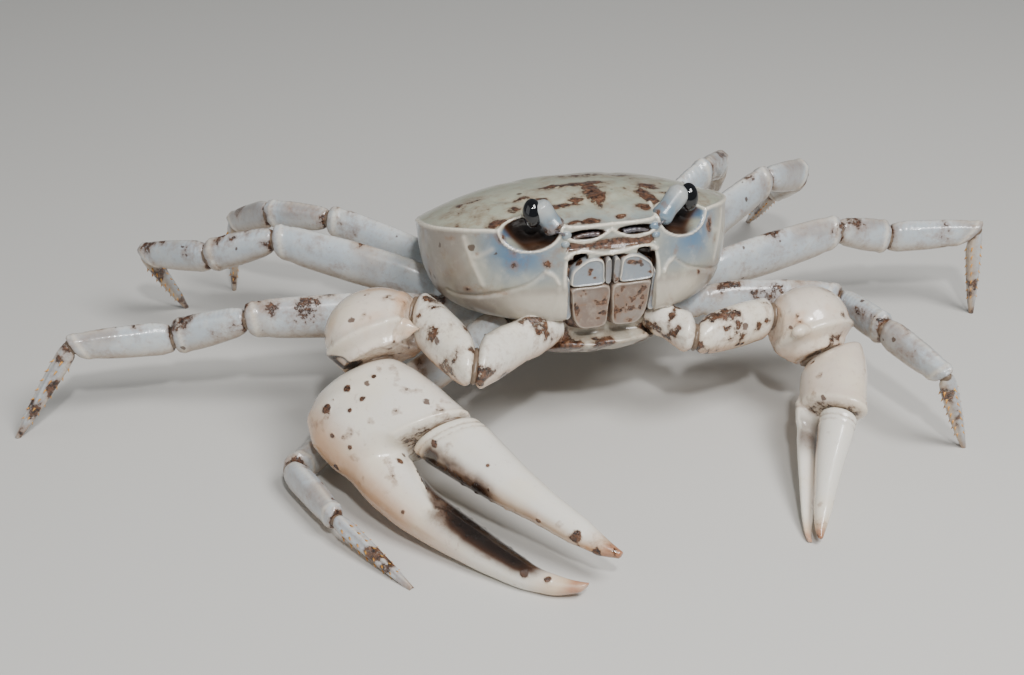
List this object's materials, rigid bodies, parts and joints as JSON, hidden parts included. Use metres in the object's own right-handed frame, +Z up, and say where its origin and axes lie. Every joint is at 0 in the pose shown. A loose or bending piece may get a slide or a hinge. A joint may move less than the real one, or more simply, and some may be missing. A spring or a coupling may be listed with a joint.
{
  "type": "freshwater crab model",
  "caption": "Life-size still model of a small pale freshwater crab, standing with its front raised and both claws laid forward on the floor.",
  "frame": {"origin": "on the floor plane, under the middle of the bounding box", "axes": "the animal faces -Y, its left side is +X, +Z is up"},
  "size_m": [0.1036, 0.0664, 0.0258],
  "materials": {
    "shell": "wet glossy shell, sage cream to blue-grey, with brown mud stains",
    "claw": "wet glossy ivory shell with peach undersides",
    "leg": "wet translucent blue-white shell with brown mud stains",
    "mouth": "wet brown-grey shell plates with ivory rims",
    "eye": "polished black cornea"
  },
  "bodies": {
    "root": {"carapace": "shell", "thorax": "shell", "pleon": "shell", "eyestalk_left": "shell", "eye_left": "eye", "maxilliped_left": "mouth", "eyestalk_right": "shell", "eye_right": "eye", "maxilliped_right": "mouth", "claw_left_base": "claw", "claw_left_merus": "claw", "claw_left_carpus": "claw", "claw_left_palm": "claw", "claw_left_finger": "claw", "claw_right_base": "claw", "claw_right_merus": "claw", "claw_right_carpus": "claw", "claw_right_palm": "claw", "claw_right_finger": "claw", "leg_1_left_merus": "leg", "leg_1_left_carpus": "leg", "leg_1_left_propodus": "leg", "leg_1_left_dactyl": "leg", "leg_1_right_merus": "leg", "leg_1_right_carpus": "leg", "leg_1_right_propodus": "leg", "leg_1_right_dactyl": "leg", "leg_2_left_merus": "leg", "leg_2_left_carpus": "leg", "leg_2_left_propodus": "leg", "leg_2_left_dactyl": "leg", "leg_2_right_merus": "leg", "leg_2_right_carpus": "leg", "leg_2_right_propodus": "leg", "leg_2_right_dactyl": "leg", "leg_3_left_merus": "leg", "leg_3_left_carpus": "leg", "leg_3_left_propodus": "leg", "leg_3_left_dactyl": "leg", "leg_3_right_merus": "leg", "leg_3_right_carpus": "leg", "leg_3_right_propodus": "leg", "leg_3_right_dactyl": "leg", "leg_4_left_merus": "leg", "leg_4_left_carpus": "leg", "leg_4_left_propodus": "leg", "leg_4_left_dactyl": "leg", "leg_4_right_merus": "leg", "leg_4_right_carpus": "leg", "leg_4_right_propodus": "leg", "leg_4_right_dactyl": "leg"}
  },
  "joints": []
}
